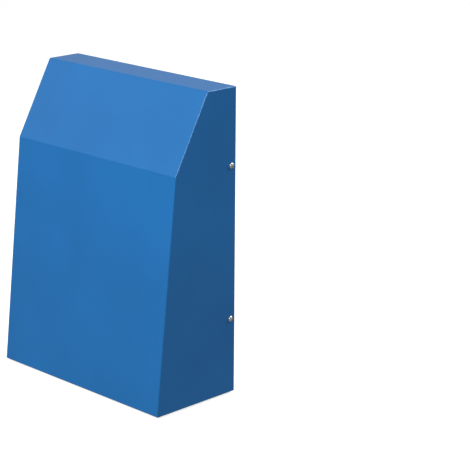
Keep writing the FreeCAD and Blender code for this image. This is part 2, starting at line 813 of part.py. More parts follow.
def stator_coils():
    """Copper coil round each tooth."""
    middle = (STATOR_START + STATOR_END) / 2
    half = (STATOR_START - STATOR_END) / 2
    outer = block(22.0, 30.5, middle - half - 2.8, middle + half + 2.8, -4.3, 4.3)
    outer = outer.makeFillet(1.2, [edge for edge in outer.Edges if edge.BoundBox.XLength > 5])
    coil = outer.cut(block(20, 33, middle - half - 0.2, middle + half + 0.2, -2.95, 2.95))
    return spread(coil, TOOTH_COUNT)


def bearing_outer_rings():
    """Outer rings of the two ball bearings, seated in the motor's flange."""
    inner = BALL_CIRCLE + BALL_RADIUS + 0.1
    return [ring(inner, BEARING_RADIUS, start, start - BEARING_WIDTH) for start in BEARING_STARTS]


def bearing_inner_rings():
    """Inner rings of the two ball bearings, on the shaft."""
    outer = BALL_CIRCLE - BALL_RADIUS - 0.1
    return [ring(SHAFT_RADIUS, outer, start, start - BEARING_WIDTH) for start in BEARING_STARTS]


def bearing_balls():
    """Balls of both bearings."""
    balls = []
    for start in BEARING_STARTS:
        centre = Vector(BALL_CIRCLE, start - BEARING_WIDTH / 2, 0)
        balls.extend(spread(Part.makeSphere(BALL_RADIUS, centre), BALL_COUNT))
    return balls


def bearing_cap():
    """Plug that closes the bearing tube's outer end."""
    return turned_outline(
        [(0, -93.5), (BEARING_RADIUS, -93.5), (BEARING_RADIUS, -97.2), (9, -97.8), (0, -97.8)]
    )


def motor_shaft():
    """Shaft fixed in the rotor's nose and running in both bearings."""
    radius = SHAFT_RADIUS
    points = [
        (0, CAN_NOSE + 0.6),
        (radius - 0.6, CAN_NOSE + 0.6),
        (radius, CAN_NOSE),
        (radius, -89.6),
        (4.5, -89.6),
        (4.5, -90.8),
        (radius, -90.8),
        (radius, -91.6),
        (radius - 0.5, -92.1),
        (0, -92.1),
    ]
    return turned_outline(points)


def shaft_circlip():
    """Retaining ring in the shaft's groove, beside the outer bearing."""
    clip = ring(4.5, 7.0, -89.7, -90.7)
    return clip.cut(block(3.0, 9.0, -92, -88, -1.6, 1.6))


def rotor_can():
    """Drawn cup that carries the rotor cage outside and turns with the impeller."""
    inner = CAN_RADIUS - CAN_WALL
    rim_top = BACKPLATE_FACE + 1.5
    points = [
        (SHAFT_RADIUS, CAN_NOSE),
        (13.0, CAN_NOSE),
        (15.0, CAN_NOSE - 1.5),
        (30.0, CAN_NOSE - 1.5),
        (32.0, CAN_NOSE),
        (CAN_RADIUS, CAN_NOSE),
        (CAN_RADIUS, rim_top),
        (CAN_FLANGE, rim_top),
        (CAN_FLANGE, BACKPLATE_FACE),
        (inner, BACKPLATE_FACE),
        (inner, CAN_NOSE - 4.0),
        (12.0, CAN_NOSE - 4.0),
        (11.0, CAN_NOSE - 10.0),
        (SHAFT_RADIUS, CAN_NOSE - 10.0),
    ]
    can = turned_outline(points, [0, 0.8, 0.8, 0.8, 0.8, 6, 2, 0, 0, 0, 2, 1, 0, 0])
    hole = rod(2.0, (HUB_RIVET_CIRCLE, -95, 0), (HUB_RIVET_CIRCLE, -80, 0))
    return can.cut(spread(hole, HUB_RIVET_COUNT))


def rotor_cage():
    """Laminated ring with cast bars, pressed inside the rotor can."""
    inner = STATOR_RADIUS + AIR_GAP
    outer = CAN_RADIUS - CAN_WALL
    return ring(inner, outer, STATOR_START + 2, STATOR_END - 2)


# ---------------------------------------------------------------- impeller

def shroud_points():
    """Outer face of the shroud from its inlet lip to its rim, as (radius, y)."""
    lip = EYE_RADIUS + SHEET + SHROUD_GAP + SHROUD_SHEET
    return [(lip, SHROUD_LIP), (lip, SHROUD_SHOULDER), (IMPELLER_RADIUS, SHROUD_EDGE)]


def impeller_shroud():
    """Flared front ring of the impeller."""
    section = sheet_face(shroud_points(), -SHROUD_SHEET, [0, SHROUD_BEND, 0], turning_plane)
    return turned(section)


def impeller_backplate():
    """Flat disc that carries the blades and is riveted to the rotor."""
    disc = ring(44.0, IMPELLER_RADIUS, BACKPLATE_FACE, BACKPLATE_FACE - BACKPLATE_SHEET)
    hole = rod(2.0, (HUB_RIVET_CIRCLE, -95, 0), (HUB_RIVET_CIRCLE, -80, 0))
    return disc.cut(spread(hole, HUB_RIVET_COUNT))


def polar(radius, degrees):
    """A flat point given by its radius and angle."""
    angle = math.radians(degrees)
    return (radius * math.cos(angle), radius * math.sin(angle))


def blade_strip():
    """One backward-curved blade before it is trimmed to the shroud."""
    tip = IMPELLER_RADIUS - 1.0
    sweep = math.degrees(math.log(tip / BLADE_INNER) / math.tan(math.radians(BLADE_ANGLE)))
    first = polar(BLADE_INNER, 0)
    middle = polar(math.sqrt(BLADE_INNER * tip), sweep / 2)
    last = polar(tip, sweep)
    stations = [Vector(point[0], 0, point[1]) for point in (first, middle, last)]
    circle = Part.Arc(*stations).toShape().Curve
    near = []
    far = []
    for station in stations:
        outward = (station - circle.Center).normalize()
        near.append(circle.Center + outward * (circle.Radius - BLADE_SHEET / 2))
        far.append(circle.Center + outward * (circle.Radius + BLADE_SHEET / 2))
    edges = [
        Part.Arc(*near).toShape(),
        Part.LineSegment(near[2], far[2]).toShape(),
        Part.Arc(far[2], far[1], far[0]).toShape(),
        Part.LineSegment(far[0], near[0]).toShape(),
    ]
    strip = Part.Face(Part.Wire(edges))
    strip.translate(Vector(0, BACKPLATE_FACE, 0))
    return strip.extrude(Vector(0, SHROUD_LIP - BACKPLATE_FACE, 0))


def impeller_blades():
    """Blades between the backplate and the shroud, their inlet edges raked."""
    under = offset_points(shroud_points(), -SHROUD_SHEET)
    profile = rounded_edges(under, [0, SHROUD_BEND + SHROUD_SHEET, 0], turning_plane)
    lip = under[0][0]
    inlet_low = Vector(BLADE_INNER - 2, BACKPLATE_FACE, 0)
    inlet_high = Vector(lip, SHROUD_LIP, 0)
    rim_high = Vector(under[-1][0], under[-1][1], 0)
    rim_low = Vector(IMPELLER_RADIUS + 1, BACKPLATE_FACE, 0)
    rim_side = Vector(IMPELLER_RADIUS + 1, under[-1][1], 0)
    edges = profile + [
        Part.LineSegment(rim_high, rim_side).toShape(),
        Part.LineSegment(rim_side, rim_low).toShape(),
        Part.LineSegment(rim_low, inlet_low).toShape(),
        Part.LineSegment(inlet_low, inlet_high).toShape(),
    ]
    space = turned(Part.Face(Part.Wire(Part.__sortEdges__(edges))))
    blade = blade_strip().common(space)
    return spread(blade, BLADE_COUNT)


def hub_rivets():
    """Rivets through the rotor's rim and the backplate."""
    shape = rivet(2.0, 3.6, 1.4, 1.5 + BACKPLATE_SHEET)
    placed = aimed(shape, (HUB_RIVET_CIRCLE, BACKPLATE_FACE + 1.5, 0), (0, 1, 0))
    return spread(placed, HUB_RIVET_COUNT)


def balance_clip():
    """Spring-steel clip pushed on the backplate's edge to balance the wheel."""
    back = BACKPLATE_FACE - BACKPLATE_SHEET
    rim = IMPELLER_RADIUS + 0.2
    points = [(rim - 8, BACKPLATE_FACE), (rim, BACKPLATE_FACE), (rim, back), (rim - 8, back)]
    clip = sheet_face(points, 0.6, [0, 0.1, 0.1, 0], turning_plane)
    clip.translate(Vector(0, 0, -5))
    clip = clip.extrude(Vector(0, 0, 10))
    clip.rotate(CENTRE, Y_AXIS, 200)
    return clip


# --------------------------------------------------------------- electrics

def terminal_box():
    """Moulded box on the rear plate over the cable grommet."""
    box = block(BOX_LEFT, BOX_RIGHT, BOX_FRONT, PLATE_FRONT, BOX_LOW, BOX_HIGH)
    box = box.makeFillet(4.0, [edge for edge in box.Edges if edge.BoundBox.YLength > 20])
    inside = block(
        BOX_LEFT + BOX_WALL, BOX_RIGHT - BOX_WALL, BOX_FRONT, PLATE_FRONT - BOX_WALL,
        BOX_LOW + BOX_WALL, BOX_HIGH - BOX_WALL,
    )
    inside = inside.makeFillet(2.5, [edge for edge in inside.Edges if edge.BoundBox.YLength > 20])
    box = box.cut(inside)
    for x, z in lid_screw_places():
        box = box.fuse(rod(3.6, (x, PLATE_FRONT - BOX_WALL, z), (x, BOX_FRONT, z)))
    cutters = [rod(10.5, (GROMMET_X, -20, GROMMET_Z), (GROMMET_X, 0, GROMMET_Z))]
    wall_end = BOX_LEFT + BOX_WALL
    cutters.append(
        rod(6.0, (BOX_LEFT - 2, LEAD_GLAND_Y, LEAD_GLAND_Z), (wall_end, LEAD_GLAND_Y, LEAD_GLAND_Z))
    )
    cutters.append(rod(2.4, (BOX_LEFT - 2, CAPACITOR_Y, CAPACITOR_Z), (wall_end, CAPACITOR_Y, CAPACITOR_Z)))
    for x, z in lid_screw_places():
        cutters.append(rod(1.5, (x, BOX_FRONT, z), (x, BOX_FRONT + 9, z)))
    earth_end = earth_lead_route()[-1]
    cutters.append(rod(EARTH_LEAD_RADIUS, (BOX_LEFT - 2, earth_end[1], earth_end[2]), earth_end))
    return box.cut(cutters + stud_holes())


def lid_screw_places():
    """Two opposite corners of the terminal box."""
    inset = LID_SCREW_INSET
    return [(BOX_LEFT + inset, BOX_HIGH - inset), (BOX_RIGHT - inset, BOX_LOW + inset)]


def terminal_lid():
    """Lid of the terminal box."""
    lid = block(BOX_LEFT, BOX_RIGHT, BOX_FRONT - LID_THICK, BOX_FRONT, BOX_LOW, BOX_HIGH)
    lid = lid.makeFillet(4.0, [edge for edge in lid.Edges if edge.BoundBox.YLength > 2.5])
    outer = [edge for edge in lid.Edges if edge.BoundBox.YMax < BOX_FRONT - LID_THICK + 0.01]
    lid = lid.makeFillet(1.0, outer)
    for x, z in lid_screw_places():
        lid = lid.cut(rod(1.7, (x, BOX_FRONT - 5, z), (x, BOX_FRONT, z)))
    return lid


def lid_screws():
    """Screws of the terminal box's lid."""
    screw = pan_screw(8.0, 1.5, 2.9, 1.8)
    return [aimed(screw, (x, BOX_FRONT - LID_THICK, z), (0, -1, 0)) for x, z in lid_screw_places()]


def terminal_positions():
    """Height and across position of each clamp in the terminal block."""
    places = []
    for x in (82.0, 90.0, 98.0):
        for z in (-174.0, -168.0):
            places.append((x, z))
    return places


def terminal_block():
    """Three-way clamp strip in the terminal box."""
    floor = PLATE_FRONT - BOX_WALL
    strip = block(77.5, 102.5, floor - 13, floor, -178, -164)
    cutters = []
    for x, z in terminal_positions():
        cutters.append(rod(2.0, (x, floor - 14, z), (x, floor - 7, z)))
    return strip.cut(cutters)


def terminal_screws():
    """Clamp screws of the terminal block."""
    floor = PLATE_FRONT - BOX_WALL
    screws = []
    for x, z in terminal_positions():
        screw = rod(1.9, (x, floor - 11.5, z), (x, floor - 7, z))
        screws.append(screw.cut(block(x - 2, x + 2, floor - 12, floor - 10.8, z - 0.4, z + 0.4)))
    return screws


def motor_lead_route():
    """Corners of the motor lead's route from the motor's face to the terminal box."""
    return [
        (0, MOTOR_FACE, CABLE_EXIT_Z),
        (0, -112, CABLE_EXIT_Z),
        (0, -120, -39),
        (-7, -120, -68),
        (-20, -115, -104),
        (-24, -90, -134),
        (-4, -52, -142),
        (26, LEAD_GLAND_Y, LEAD_GLAND_Z),
        (BOX_LEFT + BOX_WALL + 2, LEAD_GLAND_Y, LEAD_GLAND_Z),
    ]


def motor_lead():
    """Sheathed lead from the motor to the terminal box."""
    return wire_tube(motor_lead_route(), LEAD_RADIUS)


def lead_bush():
    """Rubber bush round the lead in the bridge's hole."""
    points = [
        (LEAD_RADIUS + 1.0, MOTOR_FACE - 0.2),
        (6.0, MOTOR_FACE - 0.2),
        (6.0, BRIDGE_FRONT),
        (7.6, BRIDGE_FRONT),
        (7.6, BRIDGE_FRONT - 1.6),
        (5.4, BRIDGE_FRONT - 3.6),
        (LEAD_RADIUS + 1.0, BRIDGE_FRONT - 3.6),
    ]
    bush = turned_outline(points)
    bush.translate(Vector(0, 0, CABLE_EXIT_Z))
    return bush


def lead_gland():
    """Cable gland in the terminal box's wall."""
    nut = hex_nut(14.0, 5.0, LEAD_RADIUS + 0.6)
    dome = Part.makeCone(7.0, 5.0, 4.0, Vector(0, 0, 5.0)).cut(Part.makeCylinder(LEAD_RADIUS + 0.6, 20))
    neck = Part.makeCylinder(6.0, BOX_WALL, Vector(0, 0, -BOX_WALL))
    neck = neck.cut(Part.makeCylinder(LEAD_RADIUS + 0.6, 20, Vector(0, 0, -10)))
    gland = nut.fuse([dome, neck]).removeSplitter()
    return aimed(gland, (BOX_LEFT, LEAD_GLAND_Y, LEAD_GLAND_Z), (-1, 0, 0))


def capacitor():
    """Run capacitor: a plastic-cased cylinder lying across the rear plate."""
    length = CAPACITOR_RIGHT - CAPACITOR_LEFT
    body = Part.makeCylinder(CAPACITOR_RADIUS, length)
    body = body.makeFillet(1.8, [edge for edge in body.Edges if edge.BoundBox.ZLength < 0.01])
    groove = Part.makeTorus(CAPACITOR_RADIUS + 0.6, 1.2, Vector(0, 0, length - 7))
    body = body.cut(groove)
    return aimed(body, (CAPACITOR_LEFT, CAPACITOR_Y, CAPACITOR_Z), (1, 0, 0))


def capacitor_clip():
    """Steel band round the capacitor, with its foot on the rear plate."""
    left = CLIP_X - CLIP_WIDTH / 2
    right = CLIP_X + CLIP_WIDTH / 2
    centre = Vector(left, CAPACITOR_Y, CAPACITOR_Z)
    band = Part.makeCylinder(CAPACITOR_RADIUS + CLIP_SHEET, CLIP_WIDTH, centre, X_AXIS)
    hole = Part.makeCylinder(CAPACITOR_RADIUS, CLIP_WIDTH, centre, X_AXIS)
    reach = CLIP_STUD_RISE + 5.5
    low = CAPACITOR_Z - reach
    high = CAPACITOR_Z + reach
    foot = block(left, right, PLATE_FRONT - CLIP_SHEET, PLATE_FRONT, low, high)
    return band.fuse(foot).cut([hole] + stud_holes())


def earth_stud():
    """Earthing stud welded on the rear plate."""
    return rod(2.5, (EARTH_X, PLATE_FRONT - 14, EARTH_Z), (EARTH_X, PLATE_FRONT, EARTH_Z))


def earth_tag():
    """Crimped ring tag on the earth lead, clamped under the nut."""
    top = PLATE_FRONT - EARTH_TAG_SHEET
    eye = rod(4.6, (EARTH_X, top, EARTH_Z), (EARTH_X, PLATE_FRONT, EARTH_Z))
    start = earth_lead_route()[0]
    barrel = rod(2.0, (start[0] - 3, start[1], start[2]), (start[0] + 3, start[1], start[2]))
    neck = block(EARTH_X, start[0] - 1, top, PLATE_FRONT, EARTH_Z - 1.5, EARTH_Z + 1.5)
    socket = rod(EARTH_LEAD_RADIUS, start, (start[0] + 3, start[1], start[2]))
    stud = rod(2.5, (EARTH_X, -20, EARTH_Z), (EARTH_X, 0, EARTH_Z))
    return eye.fuse([neck, barrel]).cut([socket, stud]).removeSplitter()


def earth_nut():
    """Nut and washer on the earthing stud, over the lead's ring tag."""
    washer = Part.makeCylinder(5.0, 1.0).cut(Part.makeCylinder(2.5, 1.0))
    nut = hex_nut(8.0, 4.0, 2.5)
    nut.translate(Vector(0, 0, 1.0))
    return aimed(washer.fuse(nut), (EARTH_X, PLATE_FRONT - EARTH_TAG_SHEET, EARTH_Z), (0, -1, 0))


def earth_lead_route():
    """Corners of the earth lead's route from its ring tag to the terminal box."""
    height = PLATE_FRONT - 2.0
    return [
        (EARTH_X + 9, height, EARTH_Z),
        (EARTH_X + 20, height, EARTH_Z),
        (BOX_LEFT - 7, height - 6, EARTH_Z - 6),
        (BOX_LEFT + BOX_WALL + 1, height - 6, EARTH_Z - 6),
    ]


def earth_lead():
    """Earth lead from the ring tag into the terminal box."""
    return wire_tube(earth_lead_route(), EARTH_LEAD_RADIUS)


def capacitor_lead():
    """Sheathed pair from the capacitor's end to the terminal box."""
    end = BOX_LEFT + BOX_WALL + 1
    return rod(2.4, (CAPACITOR_RIGHT, CAPACITOR_Y, CAPACITOR_Z), (end, CAPACITOR_Y, CAPACITOR_Z))


# ------------------------------------------------------------------ output

def sub_parts():
    """Every node with its solids."""
    panel = side_panel()
    return {
        "front_sheet": front_sheet(),
        "side_panel_left": mirrored(panel),
        "side_panel_right": panel,
        "grille_panel": grille_panel(),
        "rear_frame": rear_frame(),
        "rear_plate": rear_plate(),
        "spigot_flange": spigot_flange(),
        "duct_spigot": duct_spigot(),
        "duct_gasket": duct_gasket(),
        "supply_grommet": supply_grommet(),
        "inlet_nozzle": inlet_nozzle(),
        "weld_studs": weld_studs(),
        "stud_nuts": stud_nuts(),
        "casing_screws": casing_screws(),
        "casing_nuts": casing_nuts(),
        "motor_bridge": motor_bridge(),
        "bridge_rivets": bridge_rivets(),
        "motor_flange": motor_flange(),
        "motor_screws": motor_screws(),
        "stator_core": stator_core(),
        "stator_coils": stator_coils(),
        "bearing_outer_rings": bearing_outer_rings(),
        "bearing_inner_rings": bearing_inner_rings(),
        "bearing_balls": bearing_balls(),
        "bearing_cap": bearing_cap(),
        "motor_shaft": motor_shaft(),
        "shaft_circlip": shaft_circlip(),
        "rotor_can": rotor_can(),
        "rotor_cage": rotor_cage(),
        "impeller_shroud": impeller_shroud(),
        "impeller_backplate": impeller_backplate(),
        "impeller_blades": impeller_blades(),
        "hub_rivets": hub_rivets(),
        "balance_clip": balance_clip(),
        "terminal_box": terminal_box(),
        "terminal_lid": terminal_lid(),
        "lid_screws": lid_screws(),
        "terminal_block": terminal_block(),
        "terminal_screws": terminal_screws(),
        "motor_lead": motor_lead(),
        "lead_bush": lead_bush(),
        "lead_gland": lead_gland(),
        "capacitor": capacitor(),
        "capacitor_clip": capacitor_clip(),
        "capacitor_lead": capacitor_lead(),
        "earth_stud": earth_stud(),
        "earth_tag": earth_tag(),
        "earth_nut": earth_nut(),
        "earth_lead": earth_lead(),
    }


def main():
    """Write one STEP file for each sub-part."""
    os.makedirs("parts", exist_ok=True)
    for name, made in sub_parts().items():
        shape = Part.makeCompound(made) if isinstance(made, list) else made
        if not shape.isValid():
            print("not valid:", name)
        print(name, len(shape.Solids), round(shape.Volume / 1000, 2), "cm3")
        shape.exportStep("parts/" + name + ".step")


main()
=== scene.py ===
"""Looks of the wall exhaust fan: materials, studio and camera."""
import json
import math

import bpy
from mathutils import Matrix, Vector


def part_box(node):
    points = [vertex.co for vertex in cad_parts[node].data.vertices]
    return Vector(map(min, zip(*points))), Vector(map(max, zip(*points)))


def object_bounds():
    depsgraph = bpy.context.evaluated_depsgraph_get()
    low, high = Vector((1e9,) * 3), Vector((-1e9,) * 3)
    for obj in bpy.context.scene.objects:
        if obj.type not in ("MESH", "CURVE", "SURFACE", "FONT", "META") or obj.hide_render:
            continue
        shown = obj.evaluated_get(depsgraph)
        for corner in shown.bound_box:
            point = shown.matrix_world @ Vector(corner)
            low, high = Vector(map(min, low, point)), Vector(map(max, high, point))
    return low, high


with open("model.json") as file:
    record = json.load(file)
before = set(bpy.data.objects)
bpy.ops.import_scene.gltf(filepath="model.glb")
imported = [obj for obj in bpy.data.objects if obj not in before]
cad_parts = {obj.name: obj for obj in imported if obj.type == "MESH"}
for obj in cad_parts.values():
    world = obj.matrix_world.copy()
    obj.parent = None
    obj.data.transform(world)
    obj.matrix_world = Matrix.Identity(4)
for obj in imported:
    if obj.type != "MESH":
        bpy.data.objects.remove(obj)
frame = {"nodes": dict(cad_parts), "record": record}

cad_low, cad_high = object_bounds()
nodes = frame["nodes"]
MM = 0.001

# Camera: it looks at the casing's right-hand wall edge from the front right and above.
AIM_HEIGHT = 10.1 * MM
CAMERA_AZIMUTH = 44.48
CAMERA_ELEVATION = 16.45
CAMERA_ROLL = 0.45
CAMERA_DISTANCE = 2.465
CAMERA_LENS = 137.7
SENSOR_WIDTH = 36.0
CLIP_END = 100.0

# Studio: floor, light boxes and surroundings.
FLOOR_SIZE = 40.0
FLOOR_WHITE = 0.40
FLOOR_GLOW = 0.76
ROOM_LIGHT = 0.28

# Each light box: name, direction from the fan, distance, width, height and power.
LIGHT_BOXES = [
    ("key_light", (0.115, -0.81, 0.62), 2.2, 1.2, 1.2, 49.0),
    ("back_light", (0.20, 0.72, 0.66), 3.0, 2.0, 2.0, 98.0),
    ("left_light", (-0.72, -0.55, 0.45), 3.0, 1.6, 1.6, 3.4),
    ("edge_light", (0.72, -0.56, 0.46), 3.2, 0.5, 0.7, 13.0),
]

# Colours, as linear values.
PAINT_BLUE = (0.010, 0.132, 0.375)
# Painted highlight: a lighter blue laid along the folds and edges of the paint.
PAINT_FOLD_HIGHLIGHT = (0.030, 0.210, 0.500)
ZINC = (0.72, 0.72, 0.70)
GALVANISED = (0.56, 0.58, 0.59)
RUBBER = (0.012, 0.011, 0.010)
CAST_ALUMINIUM = (0.55, 0.56, 0.57)
BLACK_STEEL = (0.020, 0.021, 0.023)
LAMINATION = (0.16, 0.15, 0.14)
COPPER = (0.60, 0.20, 0.07)
BEARING_STEEL = (0.66, 0.66, 0.66)
GREY_PLASTIC = (0.25, 0.26, 0.27)
WHITE_PLASTIC = (0.68, 0.67, 0.62)
BEIGE_PLASTIC = (0.46, 0.40, 0.30)
BRASS = (0.72, 0.52, 0.22)
GREY_SHEATH = (0.11, 0.11, 0.115)
EARTH_GREEN = (0.05, 0.28, 0.05)
EARTH_YELLOW = (0.70, 0.55, 0.03)


# --------------------------------------------------------------- node tools

class Recipe:
    """A material being built round one Principled shader."""

    def __init__(self, name):
        self.material = bpy.data.materials.new(name)
        self.material.use_nodes = True
        self.tree = self.material.node_tree
        self.shader = self.tree.nodes["Principled BSDF"]
        self.place = self.add("ShaderNodeTexCoord").outputs["Object"]

    def add(self, kind, **settings):
        """A new node with some of its settings."""
        node = self.tree.nodes.new(kind)
        for key, value in settings.items():
            setattr(node, key, value)
        return node

    def link(self, source, target):
        """Join two sockets."""
        self.tree.links.new(source, target)

    def value(self, name, number):
        """A number or colour on the shader's own socket."""
        self.shader.inputs[name].default_value = number

    def noise(self, scale, detail=3.0, roughness=0.5):
        """Noise with features of about 1/scale metres."""
        node = self.add("ShaderNodeTexNoise")
        node.inputs["Scale"].default_value = scale
        node.inputs["Detail"].default_value = detail
        node.inputs["Roughness"].default_value = roughness
        self.link(self.place, node.inputs["Vector"])
        return node.outputs["Fac"]

    def cells(self, scale):
        """Voronoi cells of about 1/scale metres, each with a colour of its own."""
        node = self.add("ShaderNodeTexVoronoi")
        node.inputs["Scale"].default_value = scale
        self.link(self.place, node.inputs["Vector"])
        return node.outputs["Color"]

    def bands(self, scale, direction, distortion=0.0, kind="BANDS"):
        """Parallel stripes or rings, one every 1/scale metres or so."""
        node = self.add("ShaderNodeTexWave", wave_type=kind)
        if kind == "BANDS":
            node.bands_direction = direction
        else:
            node.rings_direction = direction
        node.inputs["Scale"].default_value = scale
        node.inputs["Distortion"].default_value = distortion
        self.link(self.place, node.inputs["Vector"])
        return node.outputs["Fac"]

    def ranged(self, source, low, high, start=0.0, end=1.0):
        """A factor moved from one range to another."""
        node = self.add("ShaderNodeMapRange")
        node.inputs["From Min"].default_value = start
        node.inputs["From Max"].default_value = end
        node.inputs["To Min"].default_value = low
        node.inputs["To Max"].default_value = high
        self.link(source, node.inputs["Value"])
        return node.outputs["Result"]

    def mixed(self, factor, first, second):
        """A blend of two colours, each a colour or a socket."""
        node = self.add("ShaderNodeMix", data_type="RGBA")
        self.link(factor, node.inputs["Factor"])
        for socket, colour in ((node.inputs[6], first), (node.inputs[7], second)):
            if isinstance(colour, tuple):
                socket.default_value = (*colour, 1.0)
            else:
                self.link(colour, socket)
        return node.outputs[2]

    def bump(self, height, distance, strength=1.0, before=None):
        """Surface relief of a given depth in metres, on top of an earlier one."""
        node = self.add("ShaderNodeBump")
        node.inputs["Distance"].default_value = distance
        node.inputs["Strength"].default_value = strength
        self.link(height, node.inputs["Height"])
        if before is not None:
            self.link(before, node.inputs["Normal"])
        return node.outputs["Normal"]

    def edge_mask(self, radius):
        """Near 1 along sharp edges and 0 on flat ground."""
        soft = self.add("ShaderNodeBevel", samples=6)
        soft.inputs["Radius"].default_value = radius
        plain = self.add("ShaderNodeNewGeometry")
        dot = self.add("ShaderNodeVectorMath", operation="DOT_PRODUCT")
        self.link(soft.outputs["Normal"], dot.inputs[0])
        self.link(plain.outputs["True Normal"], dot.inputs[1])
        return self.ranged(dot.outputs["Value"], 0.0, 1.0, 0.995, 0.86)

    def finish(self, colour=None, roughness=None, normal=None):
        """Join the last sockets to the shader."""
        if colour is not None:
            self.link(colour, self.shader.inputs["Base Color"])
        if roughness is not None:
            self.link(roughness, self.shader.inputs["Roughness"])
        if normal is not None:
            self.link(normal, self.shader.inputs["Normal"])
        return self.material


def shade(colour, factor):
    """A colour made lighter or darker."""
    return tuple(min(1.0, part * factor) for part in colour)


# ---------------------------------------------------------------- materials

def blue_paint():
    """Glossy powder coat: orange peel, faint cloudiness and a painted highlight on the folds."""
    mix = Recipe("blue_paint")
    cloud = mix.noise(9.0, 2.0)
    grain = mix.noise(700.0, 2.0)
    patches = mix.ranged(cloud, 0.0, 1.0, 0.3, 0.7)
    colour = mix.mixed(patches, shade(PAINT_BLUE, 0.95), shade(PAINT_BLUE, 1.05))
    # Painted highlight along the folds: the edge mask blends in lighter blue where the bends catch
    # light.
    painted_fold_highlight = mix.ranged(mix.edge_mask(1.2 * MM), 0.0, 0.35)
    colour = mix.mixed(painted_fold_highlight, colour, PAINT_FOLD_HIGHLIGHT)
    roughness = mix.ranged(mix.noise(35.0, 3.0), 0.10, 0.16)
    sheet = mix.bump(mix.noise(7.0, 1.0), 0.8 * MM)
    peel = mix.bump(mix.noise(330.0, 2.0, 0.4), 0.018 * MM, before=sheet)
    fine = mix.bump(grain, 0.003 * MM, before=peel)
    mix.value("Specular IOR Level", 0.32)
    mix.value("Coat Weight", 0.07)
    mix.value("Coat Roughness", 0.04)
    return mix.finish(colour, roughness, fine)


def zinc_plate():
    """Bright zinc on turned and rolled steel."""
    mix = Recipe("zinc_plate")
    colour = mix.mixed(mix.noise(260.0, 4.0), shade(ZINC, 0.82), shade(ZINC, 1.12))
    roughness = mix.ranged(mix.noise(900.0, 3.0), 0.20, 0.42)
    relief = mix.bump(mix.noise(1400.0, 3.0), 0.012 * MM)
    mix.value("Metallic", 1.0)
    return mix.finish(colour, roughness, relief)


def galvanised_steel():
    """Galvanised sheet with its spangle."""
    mix = Recipe("galvanised_steel")
    spangle = mix.cells(150.0)
    grey = mix.add("ShaderNodeSeparateColor")
    mix.link(spangle, grey.inputs["Color"])
    level = grey.outputs["Red"]
    colour = mix.mixed(level, shade(GALVANISED, 0.72), shade(GALVANISED, 1.22))
    streak = mix.noise(24.0, 4.0)
    colour = mix.mixed(mix.ranged(streak, 0.0, 0.35, 0.45, 0.75), colour, shade(GALVANISED, 0.85))
    roughness = mix.ranged(grey.outputs["Green"], 0.26, 0.48)
    relief = mix.bump(mix.noise(500.0, 3.0), 0.02 * MM)
    mix.value("Metallic", 1.0)
    return mix.finish(colour, roughness, relief)


def black_rubber():
    """Moulded rubber with a slight bloom."""
    mix = Recipe("black_rubber")
    colour = mix.mixed(mix.noise(60.0, 4.0), shade(RUBBER, 0.7), shade(RUBBER, 1.7))
    roughness = mix.ranged(mix.noise(220.0, 3.0), 0.26, 0.40)
    relief = mix.bump(mix.noise(1100.0, 2.0), 0.015 * MM)
    return mix.finish(colour, roughness, relief)


def cast_aluminium():
    """Die-cast metal: fine granular skin."""
    mix = Recipe("cast_aluminium")
    colour = mix.mixed(mix.noise(80.0, 4.0), shade(CAST_ALUMINIUM, 0.8), shade(CAST_ALUMINIUM, 1.12))
    relief = mix.bump(mix.noise(650.0, 4.0), 0.05 * MM)
    mix.value("Metallic", 1.0)
    return mix.finish(colour, mix.ranged(mix.noise(300.0), 0.38, 0.6), relief)


def black_steel():
    """Satin black dip paint on drawn steel, with faint turning rings."""
    mix = Recipe("black_steel")
    colour = mix.mixed(mix.noise(50.0, 3.0), shade(BLACK_STEEL, 0.75), shade(BLACK_STEEL, 1.5))
    rings = mix.bump(mix.bands(260.0, "Y", 0.4, "RINGS"), 0.008 * MM)
    relief = mix.bump(mix.noise(500.0, 2.0), 0.012 * MM, before=rings)
    return mix.finish(colour, mix.ranged(mix.noise(140.0), 0.28, 0.42), relief)


def lamination_steel():
    """Edges of stacked laminations, two to a millimetre."""
    mix = Recipe("lamination_steel")
    stripes = mix.bands(1000.0, "Y", 0.6)
    colour = mix.mixed(stripes, shade(LAMINATION, 0.5), shade(LAMINATION, 1.4))
    relief = mix.bump(stripes, 0.04 * MM)
    mix.value("Metallic", 0.9)
    return mix.finish(colour, mix.ranged(mix.noise(200.0), 0.35, 0.55), relief)


def copper_wire():
    """Lacquered winding wire."""
    mix = Recipe("copper_wire")
    turns = mix.bands(700.0, "DIAGONAL", 0.8)
    colour = mix.mixed(turns, shade(COPPER, 0.45), shade(COPPER, 1.2))
    relief = mix.bump(turns, 0.12 * MM)
    mix.value("Metallic", 0.85)
    mix.value("Coat Weight", 0.6)
    return mix.finish(colour, mix.ranged(mix.noise(200.0), 0.28, 0.42), relief)


def bearing_steel():
    """Ground steel."""
    mix = Recipe("bearing_steel")
    colour = mix.mixed(mix.noise(300.0), shade(BEARING_STEEL, 0.9), shade(BEARING_STEEL, 1.1))
    relief = mix.bump(mix.bands(1500.0, "Y", 0.3), 0.002 * MM)
    mix.value("Metallic", 1.0)
    return mix.finish(colour, mix.ranged(mix.noise(500.0), 0.14, 0.24), relief)


def moulded_plastic(name, colour, grain=0.02 * MM):
    """Moulded plastic with a spark-eroded texture."""
    mix = Recipe(name)
    tone = mix.mixed(mix.noise(40.0, 3.0), shade(colour, 0.92), shade(colour, 1.08))
    relief = mix.bump(mix.noise(1300.0, 3.0), grain)
    return mix.finish(tone, mix.ranged(mix.noise(500.0), 0.42, 0.58), relief)


def brass():
    """Plain brass, slightly dulled."""
    mix = Recipe("brass")
    colour = mix.mixed(mix.noise(300.0, 4.0), shade(BRASS, 0.75), shade(BRASS, 1.1))
    mix.value("Metallic", 1.0)
    roughness = mix.ranged(mix.noise(700.0), 0.25, 0.45)
    relief = mix.bump(mix.noise(900.0), 0.01 * MM)
    return mix.finish(colour, roughness, relief)


